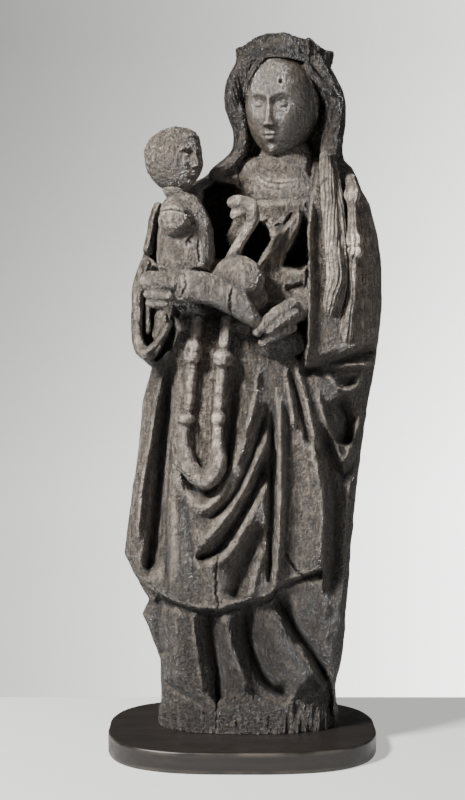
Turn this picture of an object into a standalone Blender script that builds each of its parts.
# A standing virgin with the child on her arm, carved from one block of wood,
# on a separate low oval board. Metres, +Z up, the viewer looks along +Y.
import bmesh
import bpy
import numpy as np
from mathutils import Matrix

# Driving dimensions, in metres
FIGURE_HEIGHT = 0.683
BOARD_WIDTH = 0.265
BOARD_DEPTH = 0.200
BOARD_THICKNESS = 0.0205
BOARD_EDGE_ROUND = 0.0018
BOARD_SQUARENESS = 0.70
SEAT_GAP = 0.0003
FIGURE_TRIANGLES = 8900

# The carving is laid out in carving units. Places are columns and rows of a front
# drawing, one unit apart, seen from an eye in front of the figure, and a depth: below
# zero is towards the viewer. The foot row is level with the underside of the block.
DRAWN_HEIGHT = 683.0
UNIT = FIGURE_HEIGHT / DRAWN_HEIGHT
EYE_DISTANCE = 1500.0
EYE_SIDE = -9.5
EYE_COLUMN = 232.5
EYE_ROW = 320.0
FOOT_ROW = 724.2
EYE_HEIGHT = FOOT_ROW - EYE_ROW

# Fineness of the solid, in carving units
SKIN_VOXEL = 2.2
SKIN_SMOOTHING = 2


def at(column, row, depth):
    # the point that the eye sees at a column and row of the drawing, at a depth
    reach = 1.0 + np.asarray(depth, float) / EYE_DISTANCE
    x = EYE_SIDE + (np.asarray(column, float) - EYE_COLUMN) * reach
    z = EYE_HEIGHT - (np.asarray(row, float) - EYE_ROW) * reach
    return np.stack(np.broadcast_arrays(x, depth, z), axis=-1).astype(float)


def seen(points):
    # column and row at which the eye sees these points
    reach = 1.0 + points[..., 1] / EYE_DISTANCE
    column = EYE_COLUMN + (points[..., 0] - EYE_SIDE) / reach
    row = EYE_ROW + (EYE_HEIGHT - points[..., 2]) / reach
    return column, row


def smoothPath(points, count):
    # Catmull-Rom curve through the points, read at count even steps
    p = np.asarray(points, float)
    p = np.vstack([2 * p[0] - p[1], p, 2 * p[-1] - p[-2]])
    t = np.linspace(0, len(p) - 3, count)
    k = np.clip(t.astype(int), 0, len(p) - 4)
    f = (t - k)[:, None]
    a, b, c, d = p[k], p[k + 1], p[k + 2], p[k + 3]
    return 0.5 * (2 * b + (c - a) * f + (2 * a - 5 * b + 4 * c - d) * f**2 + (3 * b - a - 3 * c + d) * f**3)


def smoothStep(x):
    x = np.clip(x, 0.0, 1.0)
    return x * x * (3 - 2 * x)


def skin(rings):
    # closed surface over rings of points, with a fan at both ends, faces outwards
    count, sides = rings.shape[:2]
    index = np.arange(count * sides).reshape(count, sides)
    beside = np.roll(index, -1, axis=1)
    quads = np.stack([index[:-1], beside[:-1], beside[1:], index[1:]], axis=-1).reshape(-1, 4)
    points = np.vstack([rings.reshape(-1, 3), rings[0].mean(0), rings[-1].mean(0)])
    first = np.stack([beside[0], index[0], np.full(sides, count * sides)], axis=-1)
    last = np.stack([index[-1], beside[-1], np.full(sides, count * sides + 1)], axis=-1)
    faces = [quads, first, last]
    a, b, c = points[quads[:, 0]], points[quads[:, 1]], points[quads[:, 2]]
    d = points[quads[:, 3]]
    if (np.cross(b - a, c - a) * a).sum() + (np.cross(c - a, d - a) * a).sum() < 0:
        faces = [f[:, ::-1] for f in faces]
    return points, faces


def tube(path, radii, flat=1.0, sides=14, steps=30):
    # round profile carried along a smooth path; flat scales it towards the viewer
    line = smoothPath(path, steps)
    size = smoothPath(np.asarray(radii, float)[:, None], steps)[:, 0]
    ahead = np.gradient(line, axis=0)
    ahead /= np.linalg.norm(ahead, axis=1, keepdims=True)
    towards = np.array([0.0, -1.0, 0.0]) - ahead * -ahead[:, 1:2]
    towards /= np.linalg.norm(towards, axis=1, keepdims=True)
    beside = np.cross(ahead, towards)
    run = np.concatenate([[0], np.cumsum(np.linalg.norm(np.diff(line, axis=0), axis=1))])
    end = np.minimum(run / size[0], (run[-1] - run) / size[-1])
    size = size * np.sqrt(np.clip(1 - (1 - np.clip(end, 0, 1)) ** 2, 0.03, 1))
    turn = np.linspace(0, 2 * np.pi, sides, endpoint=False)[None, :, None]
    out = np.cos(turn) * beside[:, None] + flat * np.sin(turn) * towards[:, None]
    return skin(line[:, None] + size[:, None, None] * out)


def turned(yaw, pitch, roll):
    # yaw turns a head to the viewer's right, pitch bows it, roll leans it
    spin = Matrix.Rotation(np.radians(yaw), 3, "Z") @ Matrix.Rotation(np.radians(pitch), 3, "X")
    return np.array(spin @ Matrix.Rotation(np.radians(roll), 3, "Y"))


def ball(centre, radii, turn=(0, 0, 0), sides=22, rows=16):
    # ellipsoid with radii along the viewer's right, depth and height
    level = np.linspace(-np.pi / 2 + 0.12, np.pi / 2 - 0.12, rows)[:, None]
    angle = np.linspace(0, 2 * np.pi, sides, endpoint=False)[None, :]
    x = np.cos(level) * np.sin(angle)
    y = -np.cos(level) * np.cos(angle)
    z = np.sin(level) + 0 * angle
    local = np.stack([x, y, z], axis=-1) * np.asarray(radii, float)
    return skin(at(*centre) + local @ turned(*turn).T)


def bump(a, c, place, spread):
    return np.exp(-(((a - place[0]) / spread[0]) ** 2) - ((c - place[1]) / spread[1]) ** 2)


def faceRelief(a, c, boldness):
    # how far a calm, plain face stands out of an egg, as shares of its depth;
    # a runs across from the nose, c runs up, both -1 to 1 over the egg
    s = np.abs(a)
    nose = np.clip((0.16 - c) / 0.40, 0, 1) ** 1.2 * smoothStep((c + 0.32) / 0.07)
    relief = 0.22 * nose * np.exp(-((s / (0.10 + 0.05 * np.clip(-c / 0.25, 0, 1))) ** 2))
    relief += 0.045 * bump(s, c, (0.33, 0.24), (0.22, 0.08))
    relief -= 0.110 * bump(s, c, (0.30, 0.07), (0.16, 0.10))
    relief += 0.085 * bump(s, c, (0.35, 0.03), (0.13, 0.07))
    relief += 0.040 * bump(s, c, (0.45, -0.22), (0.20, 0.18))
    relief += 0.050 * bump(s, c, (0.00, -0.46), (0.26, 0.15))
    relief += 0.035 * bump(s, c, (0.00, -0.40), (0.18, 0.035))
    relief += 0.040 * bump(s, c, (0.00, -0.51), (0.14, 0.04))
    relief -= 0.035 * bump(s, c, (0.00, -0.455), (0.20, 0.018))
    relief -= 0.030 * bump(s, c, (0.00, -0.60), (0.18, 0.04))
    relief += 0.080 * bump(s, c, (0.00, -0.74), (0.20, 0.12))
    return boldness * relief


def head(centre, radii, turn, jaw, boldness, sides=72, rows=64):
    # egg narrowed at the jaw and fuller in front, with a face standing out of it
    level = np.linspace(-np.pi / 2 + 0.06, np.pi / 2 - 0.06, rows)[:, None]
    angle = np.linspace(-np.pi, np.pi, sides, endpoint=False)[None, :]
    angle = angle - 0.45 * np.sin(angle)
    up = np.sin(level) + 0 * angle
    narrow = 1 - jaw * np.clip(-up, 0, 1) ** 1.7
    full = (1 - np.abs(up) ** np.where(up > 0, 3.4, 2.6)) ** 0.46
    x = (1 - np.abs(up) ** 2.3) ** 0.5 * np.sin(angle) * narrow
    y = -np.cos(angle) * np.where(np.cos(angle) > 0, full, np.cos(level))
    front = smoothStep((-y - 0.15) / 0.35)
    y = y - front * faceRelief(x, up, boldness)
    local = np.stack([x, y, up], axis=-1) * np.asarray(radii, float)
    return skin(at(*centre) + local @ turned(*turn).T)


# Drapery of the mantle: height, width to the viewer's left, width to the viewer's
# right, and the line that the fold follows down the front, as columns and rows
MANTLE_FOLDS = {
    "outer pleat": (5, 6, 5, [(150, 376), (139, 440), (131, 520), (131, 556)]),
    "left pleat": (11, 7, 4, [(161, 372), (151, 436), (141, 490), (137, 548)]),
    "left valley": (-34, 5, 9, [(172, 346), (165, 420), (159, 480), (153, 540), (147, 580)]),
    "second pleat": (9, 5, 9, [(181, 358), (171, 430), (169, 500), (178, 598)]),
    "shallow valley": (-4, 5, 5, [(184, 480), (190, 540), (200, 606)]),
    "round the loop": (-18, 6, 6, [(238, 348), (231, 425), (226, 462), (210, 490), (194, 486), (178, 455)]),
    "first swag": (10, 7, 6, [(263, 384), (246, 436), (226, 480), (205, 508), (186, 494), (172, 458)]),
    "first hollow": (-10, 4, 4, [(270, 398), (253, 455), (233, 497), (208, 521)]),
    "second swag": (11, 7, 5, [(273, 420), (246, 482), (222, 522), (197, 549)]),
    "second hollow": (-20, 6, 6, [(273, 446), (250, 500), (219, 548), (194, 560)]),
    "third swag": (11, 7, 8, [(270, 470), (247, 514), (226, 552), (200, 566)]),
    "low hollow": (-14, 9, 10, [(264, 520), (243, 568), (232, 604)]),
    "low pleat": (6, 5, 5, [(262, 545), (249, 600)]),
    "centre groove": (-15, 4, 3, [(272, 405), (272, 480), (269, 592)]),
    "centre pleat": (10, 3, 5, [(277, 380), (280, 450), (279, 530), (274, 594)]),
    "panel groove": (-5, 3, 4, [(287, 400), (287, 480), (285, 578)]),
    "panel edge": (5, 8, 3, [(312, 440), (323, 500), (322, 570)]),
    "right valley": (-20, 6, 11, [(319, 420), (331, 470), (335, 520), (331, 604)]),
    "first fan fold": (6, 4, 4, [(284, 362), (290, 398), (295, 430)]),
    "fan groove": (-6, 3, 3, [(289, 362), (299, 405), (310, 450)]),
    "second fan fold": (7, 4, 4, [(295, 362), (306, 400), (318, 450)]),
    "third fan fold": (6, 4, 4, [(259, 362), (254, 400), (242, 440)]),
    "sleeve shadow": (-20, 6, 6, [(296, 374), (322, 366), (350, 358), (380, 349)]),
    "upper pocket": (-11, 9, 9, [(349, 366), (350, 382)]),
    "upper pocket rim": (7, 3, 3, [(318, 363), (330, 378), (341, 389), (353, 389), (362, 377), (369, 362)]),
    "lower pocket": (-20, 8, 8, [(338, 396), (347, 420), (346, 446)]),
    "lower pocket rim": (8, 3, 3, [(316, 385), (321, 405), (331, 435), (343, 460), (354, 436), (363, 408)]),
    "right long fold": (5, 6, 6, [(352, 470), (345, 540), (341, 640)]),
}
GOWN_FOLDS = {
    "straight leg": (7, 12, 12, [(176, 598), (176, 640), (176, 684)]),
    "between the legs": (-24, 6, 6, [(207, 600), (212, 645), (217, 676), (218, 708)]),
    "hanging fold": (10, 5, 6, [(224, 604), (228, 640), (238, 668), (250, 694)]),
    "knee hollow": (-26, 6, 7, [(244, 596), (248, 640), (257, 667), (272, 688), (292, 698)]),
    "bent knee": (12, 16, 16, [(268, 606), (278, 645), (294, 670), (312, 688)]),
    "mantle shadow": (-24, 5, 7, [(274, 590), (287, 616), (299, 636), (314, 657), (330, 684)]),
    "trailing fold": (8, 4, 5, [(296, 640), (310, 664), (326, 696)]),
    "left toe fold": (-6, 4, 4, [(163, 678), (183, 692), (208, 706)]),
    "side hollow": (-14, 6, 6, [(160, 590), (158, 625), (163, 656)]),
}
BODICE_FOLDS = {
    "hollow by the child": (-42, 11, 12, [(219, 186), (217, 215), (214, 254)]),
    "hollow by the hand": (-44, 11, 9, [(265, 210), (261, 242), (255, 272)]),
    "hollow by the mantle": (-38, 8, 6, [(303, 214), (298, 246), (294, 272)]),
    "strap fold": (20, 11, 10, [(304, 200), (292, 234), (280, 260), (264, 294)]),
    "robe below the strap": (9, 12, 12, [(262, 288), (284, 284), (308, 284)]),
    "small fold": (6, 4, 4, [(286, 213), (277, 228), (268, 242)]),
    "left trim": (8, 6, 6, [(238, 206), (250, 213), (264, 211)]),
    "open neck": (-14, 26, 26, [(276, 150), (276, 172), (276, 196), (276, 200)]),
    "mantle border": (9, 3, 4, [(312, 186), (309, 230), (309, 275), (309, 325), (306, 364)]),
    "lock gap": (-16, 3.5, 3.5, [(348, 184), (346, 240), (346, 308)]),
    "sleeve hollow": (-30, 9, 8, [(158, 268), (156, 306), (162, 350)]),
    "shade under the leg": (-14, 12, 12, [(176, 316), (200, 312), (224, 318)]),
}
# Hem of the mantle, and the slanting edge of its right-hand fall, as columns and rows
HEM = [(100, 520), (125, 552), (135, 573), (147, 588), (163, 598), (183, 606), (200, 610), (217, 610)]
HEM += [(240, 603), (262, 599), (272, 594), (278, 585), (290, 580), (307, 574), (322, 570), (326, 640)]
HEM += [(400, 660)]
FALL = [(276, 594), (288, 613), (301, 633), (316, 653), (330, 678), (336, 735)]


def relief(column, row, folds):
    # sum of the folds: each is a bell across its line, fading out at both ends
    total = np.zeros_like(column)
    for height, left, right, line in folds.values():
        path = smoothPath(line, 4 * len(line))
        reach = 3 * max(left, right)
        low, high = path.min(0) - reach, path.max(0) + reach
        near = (column > low[0]) & (column < high[0]) & (row > low[1]) & (row < high[1])
        place = np.stack([column[near], row[near]], axis=-1)
        best = np.full(len(place), 1e9)
        side = np.zeros(len(place))
        share = np.zeros(len(place))
        for k in range(len(path) - 1):
            step = path[k + 1] - path[k]
            away = place - path[k]
            f = np.clip(away @ step / (step @ step), 0, 1)
            gap = np.linalg.norm(away - f[:, None] * step, axis=1)
            closer = gap < best
            best[closer] = gap[closer]
            side[closer] = (step[1] * away[:, 0] - step[0] * away[:, 1])[closer]
            share[closer] = ((k + f) / (len(path) - 1))[closer]
        width = np.where(side > 0, right, left)
        fade = smoothStep(share / 0.18) * smoothStep((1 - share) / 0.14)
        total[near] += height * fade * np.exp(-((best / width) ** 2))
    return total


# Silhouette and depth of the draped body at levels from its foot to its shoulders
FOOT_SINK = 10.8
BODY = {
    "row": [
        FOOT_ROW + FOOT_SINK, 700, 685, 657, 625, 612, 598, 575, 552, 500, 450, 400,
        367, 358, 330, 300, 262, 236, 205, 190, 178, 168, 158,
    ],
    "left": [
        161, 161, 161, 160, 149, 143, 150, 136, 125, 131, 137, 141,
        150, 140, 134, 136, 141, 149, 158, 180, 203, 216, 236,
    ],
    "right": [
        337, 336, 335, 342, 346, 347, 348, 350, 351, 356, 362, 369,
        375, 377, 380, 383, 382, 378, 370, 362, 357, 352, 342,
    ],
    "front": [
        -34, -38, -40, -44, -46, -46, -48, -50, -52, -56, -60, -62,
        -62, -62, -58, -54, -50, -46, -40, -30, -19, -9, -2,
    ],
    "back": [
        74, 74, 73, 72, 71, 71, 71, 70, 70, 69, 68, 66,
        65, 65, 64, 62, 58, 55, 50, 47, 44, 40, 34,
    ],
}
SIDE_DEPTH = 6.0
MANTLE_THICKNESS = 10.0
CLOAK_THICKNESS = 15.0


def body(around=200, rows=250):
    # the draped body: an upright form, its outline read from BODY; the folds move it
    # along the line of sight, so each stays at its column and row
    height = EYE_HEIGHT - (np.array(BODY["row"]) - EYE_ROW) * (1 + SIDE_DEPTH / EYE_DISTANCE)
    h = np.linspace(height[0], height[-1], rows)
    left = np.interp(h, height, BODY["left"])
    right = np.interp(h, height, BODY["right"])
    front = np.interp(h, height, BODY["front"])
    back = np.interp(h, height, BODY["back"])
    reach = 1 + SIDE_DEPTH / EYE_DISTANCE
    middle = (EYE_SIDE + ((left + right) / 2 - EYE_COLUMN) * reach)[:, None]
    half = ((right - left) / 2 * reach)[:, None]
    angle = np.linspace(-np.pi, np.pi, around, endpoint=False)[None, :]
    angle = angle - 0.5 * np.sin(angle)
    across = np.sign(np.sin(angle)) * np.abs(np.sin(angle)) ** 0.86
    deep = np.sign(np.cos(angle)) * np.abs(np.cos(angle)) ** 0.86
    depth = np.where(deep > 0, (SIDE_DEPTH - front)[:, None], (back - SIDE_DEPTH)[:, None])
    x = middle + half * across
    y = SIDE_DEPTH - depth * deep
    z = h[:, None] + 0 * angle
    points = np.stack([x, y, z], axis=-1)
    column, row = seen(points)
    facing = smoothStep((np.cos(angle) - 0.02) / 0.3) + 0 * x
    hem = np.interp(column, *np.array(HEM).T)
    fall = np.interp(row, *np.array(FALL)[:, ::-1].T)
    above = smoothStep((hem - row) / 3.5 + 0.5)
    beyond = smoothStep((column - fall) / 5.0 + 0.5) * smoothStep((row - 575) / 8) * (1 - above)
    out = relief(column.ravel(), row.ravel(), MANTLE_FOLDS).reshape(x.shape) * above
    out += relief(column.ravel(), row.ravel(), GOWN_FOLDS).reshape(x.shape) * (1 - above)
    out += relief(column.ravel(), row.ravel(), BODICE_FOLDS).reshape(x.shape)
    border = np.interp(row, [165, 205, 240, 300, 365], [318, 309, 308, 308, 305])
    cloak = smoothStep((column - border) / 3.0 + 0.5)
    cloak *= smoothStep((372 - row) / 8) * smoothStep((row - 166) / 16)
    out += MANTLE_THICKNESS * above + 0.6 * MANTLE_THICKNESS * beyond + CLOAK_THICKNESS * cloak
    toEye = np.array([EYE_SIDE, -EYE_DISTANCE, EYE_HEIGHT]) - points
    toEye /= np.linalg.norm(toEye, axis=-1, keepdims=True)
    plain = (1 - facing) * smoothStep((700 - row) / 120) * smoothStep((row - 165) / 60)
    waves = 4.0 * np.cos(6 * angle + 0.8 * np.sin(h[:, None] / 110))
    plain *= waves + 2.0 * np.cos(13 * angle + h[:, None] / 140)
    normal = np.stack([across / half, -deep / depth, 0 * x], axis=-1)
    normal /= np.linalg.norm(normal, axis=-1, keepdims=True)
    points = points + (out * facing)[..., None] * toEye + plain[..., None] * normal
    return skin(points)


# The limbs and rolls that stand out of the block: (column, row, depth) places, radii
# at those places, and how flat each is towards the viewer
LIMBS = {
    "child neck": ([(176, 176, -68), (177, 200, -72)], [13.5, 14], 1.0),
    "child torso": (
        [(179, 192, -70), (181, 206, -73), (185, 226, -76), (186, 250, -78), (185, 288, -78)],
        [13, 20, 25.5, 27.5, 29],
        0.85,
    ),
    "child stump": ([(177, 210, -76), (175, 220, -97), (173, 227, -110)], [12, 15.5, 14], 1.0),
    "child thigh": (
        [
            (164, 287, -82), (188, 286, -98), (212, 290, -104), (234, 302, -104), (250, 316, -100),
            (260, 325, -94),
        ],
        [17, 16.5, 14.5, 13, 9, 6],
        1.0,
    ),
    "child far thigh": ([(200, 284, -66), (218, 277, -72), (232, 275, -78)], [15, 18, 19], 1.0),
    "child far shin": ([(246, 286, -84), (255, 298, -82), (259, 310, -78)], [14, 12, 10], 0.9),
    "child forearm": (
        [(230, 264, -86), (234, 252, -91), (241, 240, -95), (248, 229, -98)],
        [7, 5.2, 5, 5.6],
        1.0,
    ),
    "child hand": (
        [
            (248, 229, -98), (252, 218, -99), (250, 208, -100), (243, 203, -101), (235, 202, -102),
            (228, 206, -102),
        ],
        [5.6, 7, 8, 7, 6, 4.6],
        1.0,
    ),
    "child finger": ([(245, 211, -100), (237, 213, -103), (230, 217, -102)], [6, 5, 4], 1.0),
    "arm behind the child": (
        [(160, 204, -22), (154, 220, -24), (151, 236, -24), (148, 256, -26)],
        [5, 5, 5, 6],
        4.4,
    ),
    "back of the right hand": (
        [(147, 283, -72), (151, 281, -94), (162, 281, -105), (180, 284, -107)],
        [9, 9.5, 9, 7],
        1.0,
    ),
    "right finger one": ([(148, 294, -84), (155, 294, -103), (173, 296, -108)], [5.4, 5.4, 4.6], 1.0),
    "right finger two": ([(149, 303, -82), (156, 303, -101), (169, 303, -104)], [5.2, 4.8, 4.2], 1.0),
    "sleeve rim": (
        [
            (148, 258, -46), (139, 284, -50), (137, 320, -53), (143, 349, -58), (155, 354, -62),
            (168, 334, -70),
        ],
        [6, 6, 6, 6.5, 6, 5],
        1.4,
    ),
    "inner sleeve": ([(161, 310, -48), (161, 326, -52), (156, 341, -54)], [6.5, 7, 6], 1.2),
    "left forearm": ([(324, 304, -46), (310, 300, -62), (296, 303, -76)], [15, 13, 11], 0.9),
    "left palm": (
        [(308, 305, -68), (292, 311, -80), (275, 322, -87), (262, 333, -88)],
        [12, 12.5, 11, 8],
        0.8,
    ),
    "fore finger": (
        [(296, 302, -86), (278, 312, -97), (262, 326, -98), (255, 336, -93)],
        [5.6, 6, 5.4, 4.4],
        0.9,
    ),
    "middle finger": ([(298, 311, -88), (282, 320, -98), (265, 333, -97)], [5, 5.4, 4.6], 0.9),
    "third finger": ([(296, 325, -82), (278, 333, -92), (259, 345, -88)], [5.4, 5.6, 4.6], 0.9),
    "cloth under hand": (
        [(303, 338, -58), (286, 345, -68), (268, 346, -70), (256, 343, -66)],
        [12, 13, 11, 7],
        0.9,
    ),
    "cloak over arm": ([(312, 358, -66), (345, 345, -62), (374, 328, -40)], [8, 9, 9], 0.9),
    "right veil": (
        [
            (306, 52, -26), (314, 62, -24), (328, 87, -18), (334, 101, -16), (335, 116, -16),
            (331, 145, -22), (329, 162, -30),
        ],
        [9, 11, 11.5, 11.5, 11, 11, 9],
        1.5,
    ),
    "hood edge": ([(305, 62, -40), (311, 72, -40), (321, 84, -38), (333, 94, -34)], [3.4, 3.8, 4, 3.4], 1.0),
    "temple hair": ([(260, 60, -36), (252, 70, -34), (249, 82, -31), (248, 96, -26)], [4.5, 5, 4.5, 4], 1.0),
    "left veil": (
        [(246, 56, -20), (237, 80, -14), (235, 106, -12), (241, 131, -12), (237, 156, -16), (210, 180, -16)],
        [8, 10, 11, 8, 8, 8],
        1.7,
    ),
    "left curls": (
        [(240, 70, -20), (235, 82, -24), (232, 96, -24), (233, 108, -22), (237, 120, -20)],
        [6, 8, 8, 7, 5],
        1.0,
    ),
    "lock one": (
        [
            (325, 152, -38), (327, 176, -56), (330, 212, -68), (333, 250, -75), (335, 278, -78),
            (331, 300, -77), (329, 322, -66),
        ],
        [5.5, 7, 7.5, 7.5, 8, 7, 5],
        0.8,
    ),
    "lock two": (
        [(333, 162, -36), (338, 205, -60), (342, 250, -69), (342, 285, -72), (336, 320, -64)],
        [4.5, 6, 6, 5.5, 4],
        0.8,
    ),
    "cord with tassel": (
        [
            (350, 176, -36), (352, 192, -54), (352, 212, -60), (353, 241, -68), (352, 268, -69),
            (350, 302, -69), (346, 344, -62),
        ],
        [5, 7.5, 5, 8.5, 5.5, 4.8, 7],
        1.0,
    ),
    "neck": (
        [(287, 132, -2), (286, 158, -5), (284, 174, -10), (279, 190, -14), (275, 204, -14)],
        [25, 27, 29, 32, 33],
        0.9,
    ),
    "chest": ([(238, 200, -12), (258, 193, -19), (282, 191, -20), (308, 196, -13)], [15, 22, 23, 17], 1.1),
    "slope of the neck": ([(258, 158, -6), (252, 176, -9), (241, 194, -11)], [17, 18, 17], 1.0),
}
CORD_LEFT = [(197, 314, -62), (193, 352, -67), (191, 375, -67), (189, 400, -67), (186, 418, -66)]
CORD_FOOT = [(184, 440, -66), (187, 462, -66), (197, 476, -68), (208, 479, -70), (217, 466, -72)]
CORD_RIGHT = [(218, 440, -72), (219, 410, -72), (221, 385, -72), (223, 358, -73), (226, 314, -71)]
CORD_RADIUS = 5.2
# Knots of the cord: column, row, how much thicker and half length
CORD_KNOTS = ((193, 351, 2.9, 10), (186, 418, 3.0, 5), (223, 358, 4.0, 7), (219, 418, 1.6, 5))
CORD_SAG = 4.0


def beadedCord():
    # one cord hanging in a loop, thicker at its foot and at each knot
    line = CORD_LEFT + CORD_FOOT + CORD_RIGHT
    path = smoothPath(at(*np.array(line).T), 60)
    column, row = seen(path)
    radius = CORD_RADIUS + CORD_SAG * smoothStep((row - 432) / 36)
    for knotColumn, knotRow, more, half in CORD_KNOTS:
        radius += more * np.exp(-(((row - knotRow) / half) ** 4)) * (np.abs(column - knotColumn) < 12)
    return tube(path, radius, 1.0, steps=110)


def hood():
    # the covered back of the head, ring above ring from the shoulders to the crown
    table = np.array(
        [
            (245, 254, 326, 0, 24),
            (215, 238, 340, -4, 42),
            (186, 226, 350, -6, 50),
            (160, 236, 344, -6, 50),
            (130, 236, 342, -8, 52),
            (100, 233, 341, -10, 52),
            (76, 238, 334, -24, 48),
            (62, 243, 327, -38, 44),
            (50, 246, 323, -38, 40),
            (41, 260, 308, -26, 26),
        ],
        float,
    )
    ring = smoothPath(table, 44)
    turn = np.linspace(0, 2 * np.pi, 44, endpoint=False)[None, :]
    middle, half = (ring[:, 1] + ring[:, 2]) / 2, (ring[:, 2] - ring[:, 1]) / 2
    deep, thick = (ring[:, 3] + ring[:, 4]) / 2, (ring[:, 4] - ring[:, 3]) / 2
    depth = deep[:, None] - thick[:, None] * np.cos(turn)
    points = at(middle[:, None] + half[:, None] * np.sin(turn), ring[:, :1], depth)
    level = EYE_HEIGHT - (ring[:, 0] - EYE_ROW)
    points[..., 2] = level[:, None]
    return skin(points)


CROWN = {
    "column": 284,
    "depth": -5,
    "wide": 43,
    "deep": 38,
    "wall": 7,
    "top": [
        (237, 49), (245, 44), (257, 36), (268, 33), (280, 32), (290, 33), (298, 37), (304, 41.5),
        (306.5, 39), (310, 37.5), (314, 41), (322, 49), (327, 52), (331, 58),
    ],
    "bottom": [(237, 66), (253, 60), (262, 57.5), (285, 58), (297, 60), (310, 64), (320, 70), (331, 78)],
    "back top": 50,
    "back bottom": 76,
}


def crown():
    # closed band: a rounded profile carried round an oval between its worn upper line
    # and its lower line, both given as columns and rows of the drawing
    turn = np.linspace(0, 2 * np.pi, 150, endpoint=False)[None, :]
    corner = np.linspace(0, 2 * np.pi, 18, endpoint=False)[:, None]
    across = np.sign(np.cos(corner)) * np.abs(np.cos(corner)) ** 0.45
    rise = np.sign(np.sin(corner)) * np.abs(np.sin(corner)) ** 0.6
    column = CROWN["column"] + (CROWN["wide"] + CROWN["wall"] / 2) * np.sin(turn)
    front = smoothStep((np.cos(turn) + 0.05) / 0.25)
    top = np.interp(column, *np.array(CROWN["top"]).T) * front + CROWN["back top"] * (1 - front)
    bottom = np.interp(column, *np.array(CROWN["bottom"]).T) * front + CROWN["back bottom"] * (1 - front)
    level = (bottom + top) / 2 - (bottom - top) / 2 * rise
    leaf = smoothStep((rise + 0.1) / 0.2) * np.clip(np.cos(11 * turn + 0.8), 0, 1) * 1.6
    thick = CROWN["wall"] / 2 * across + leaf * smoothStep(across / 0.5)
    depth = CROWN["depth"] - (CROWN["deep"] + thick) * np.cos(turn)
    reach = 1 + depth / EYE_DISTANCE
    return ring_skin(at(CROWN["column"] + (CROWN["wide"] + thick) * np.sin(turn) / reach, level, depth))


def ring_skin(points):
    # closed surface over a grid that wraps both ways
    rows, sides = points.shape[:2]
    index = np.arange(rows * sides).reshape(rows, sides)
    beside = np.roll(index, -1, axis=1)
    quads = np.stack([index, beside, np.roll(beside, -1, axis=0), np.roll(index, -1, axis=0)], axis=-1)
    quads = quads.reshape(-1, 4)
    flat = points.reshape(-1, 3)
    a, b, c = flat[quads[:, 0]], flat[quads[:, 1]], flat[quads[:, 2]]
    if (np.cross(b - a, c - a) * (a - flat.mean(0))).sum() < 0:
        quads = quads[:, ::-1]
    return flat, [quads]


# Heads: centre as column, row and depth, radii, turn in degrees, narrowing of the jaw
# and boldness of the face
HEADS = {
    "virgin": ((284, 107, -12), (35, 40, 54), (-20, 6, 2), 0.30, 1.3),
    "child": ((174, 160, -70), (26.5, 27.5, 30.5), (48, -4, 0), 0.20, 1.3),
}
FAR_KNEE = {"centre": (239, 279, -90), "radii": (24.5, 19, 22), "lean": 20}


def carvedForms():
    # every form of the one block, as closed surfaces that run into each other
    forms = [body(), hood(), crown(), beadedCord()]
    forms += [head(*values) for values in HEADS.values()]
    forms.append(ball(FAR_KNEE["centre"], FAR_KNEE["radii"], (0, 0, FAR_KNEE["lean"])))
    forms += [tube(at(*np.array(path).T), radii, flat) for path, radii, flat in LIMBS.values()]
    return forms


def paint(obj, name, colour, roughness):
    material = bpy.data.materials.new(name)
    material.use_nodes = True
    shader = material.node_tree.nodes["Principled BSDF"]
    shader.inputs["Base Color"].default_value = (*colour, 1)
    shader.inputs["Roughness"].default_value = roughness
    shader.inputs["Metallic"].default_value = 0.0
    obj.data.materials.append(material)


def evaluated(obj):
    graph = bpy.context.evaluated_depsgraph_get()
    return bpy.data.meshes.new_from_object(obj.evaluated_get(graph))


def sealedHollows(shape):
    # corners that the walk over the outer skin, from its top corner, doesn't reach
    top = max(shape.verts, key=lambda v: v.co.z)
    reached = {top}
    walk = [top]
    while walk:
        for edge in walk.pop().link_edges:
            for corner in edge.verts:
                if corner not in reached:
                    reached.add(corner)
                    walk.append(corner)
    return [v for v in shape.verts if v not in reached]


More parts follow.
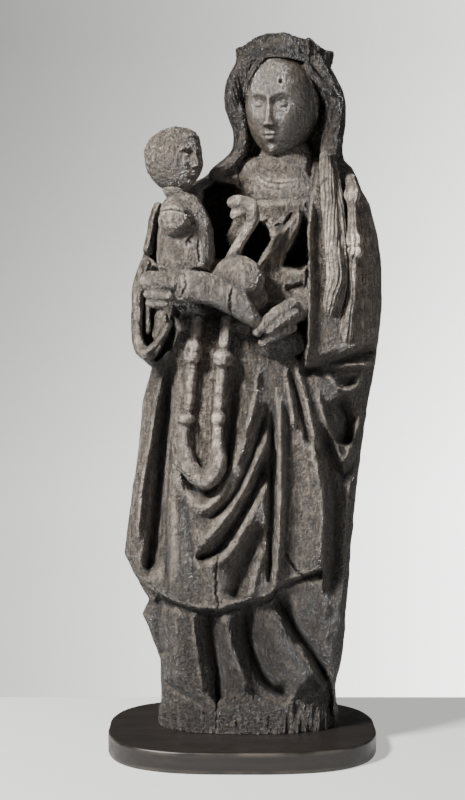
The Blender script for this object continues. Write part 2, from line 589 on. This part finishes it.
def makeFigure():
    # all forms under one voxel skin, thinned to few triangles, cut flat at the foot
    points = []
    faces = []
    start = 0
    for form, groups in carvedForms():
        points.append(form)
        faces += [tuple(face) for group in groups for face in (group + start).tolist()]
        start += len(form)
    mesh = bpy.data.meshes.new("virgin_and_child")
    mesh.from_pydata(np.vstack(points) * UNIT, [], faces)
    figure = bpy.data.objects.new("virgin_and_child", mesh)
    bpy.context.scene.collection.objects.link(figure)
    wrap = figure.modifiers.new("one skin", "REMESH")
    wrap.mode = "VOXEL"
    wrap.voxel_size = SKIN_VOXEL * UNIT
    soften = figure.modifiers.new("soften", "SMOOTH")
    soften.iterations = SKIN_SMOOTHING
    soften.factor = 0.5
    figure.data = evaluated(figure)
    figure.modifiers.clear()
    count = sum(len(p.vertices) - 2 for p in figure.data.polygons)
    thin = figure.modifiers.new("few triangles", "DECIMATE")
    thin.ratio = FIGURE_TRIANGLES / count
    figure.data = evaluated(figure)
    figure.modifiers.clear()
    cut = bmesh.new()
    cut.from_mesh(figure.data)
    everything = cut.verts[:] + cut.edges[:] + cut.faces[:]
    bmesh.ops.bisect_plane(cut, geom=everything, plane_co=(0, 0, 0), plane_no=(0, 0, -1), clear_outer=True)
    bmesh.ops.holes_fill(cut, edges=[e for e in cut.edges if e.is_boundary])
    bmesh.ops.triangulate(cut, faces=cut.faces[:])
    bmesh.ops.delete(cut, geom=sealedHollows(cut), context="VERTS")
    cut.to_mesh(figure.data)
    cut.free()
    figure.data.shade_smooth()
    figure.data.set_sharp_from_angle(angle=np.radians(50))
    figure.location.z = BOARD_THICKNESS + SEAT_GAP
    paint(figure, "carved wood", (0.14, 0.095, 0.062), 0.5)
    return figure


def makeBoard():
    # oval board, squarer than an ellipse, its edges slightly rounded
    turn = np.linspace(0, 2 * np.pi, 72, endpoint=False)
    x = BOARD_WIDTH / 2 * np.sign(np.cos(turn)) * np.abs(np.cos(turn)) ** BOARD_SQUARENESS
    y = BOARD_DEPTH / 2 * np.sign(np.sin(turn)) * np.abs(np.sin(turn)) ** BOARD_SQUARENESS
    shape = bmesh.new()
    rim = [shape.verts.new((px, py, 0)) for px, py in zip(x, y)]
    face = shape.faces.new(rim)
    lifted = bmesh.ops.extrude_face_region(shape, geom=[face])["geom"]
    top = [v for v in lifted if isinstance(v, bmesh.types.BMVert)]
    bmesh.ops.translate(shape, verts=top, vec=(0, 0, BOARD_THICKNESS))
    bmesh.ops.recalc_face_normals(shape, faces=shape.faces[:])
    mesh = bpy.data.meshes.new("base_board")
    shape.to_mesh(mesh)
    shape.free()
    board = bpy.data.objects.new("base_board", mesh)
    bpy.context.scene.collection.objects.link(board)
    soft = board.modifiers.new("rounded edges", "BEVEL")
    soft.width = BOARD_EDGE_ROUND
    soft.segments = 2
    soft.angle_limit = np.radians(50)
    board.data.shade_smooth()
    board.data.set_sharp_from_angle(angle=np.radians(30))
    paint(board, "dark board", (0.045, 0.032, 0.024), 0.4)
    return board


for old in list(bpy.data.objects):
    bpy.data.objects.remove(old, do_unlink=True)
makeFigure()
makeBoard()
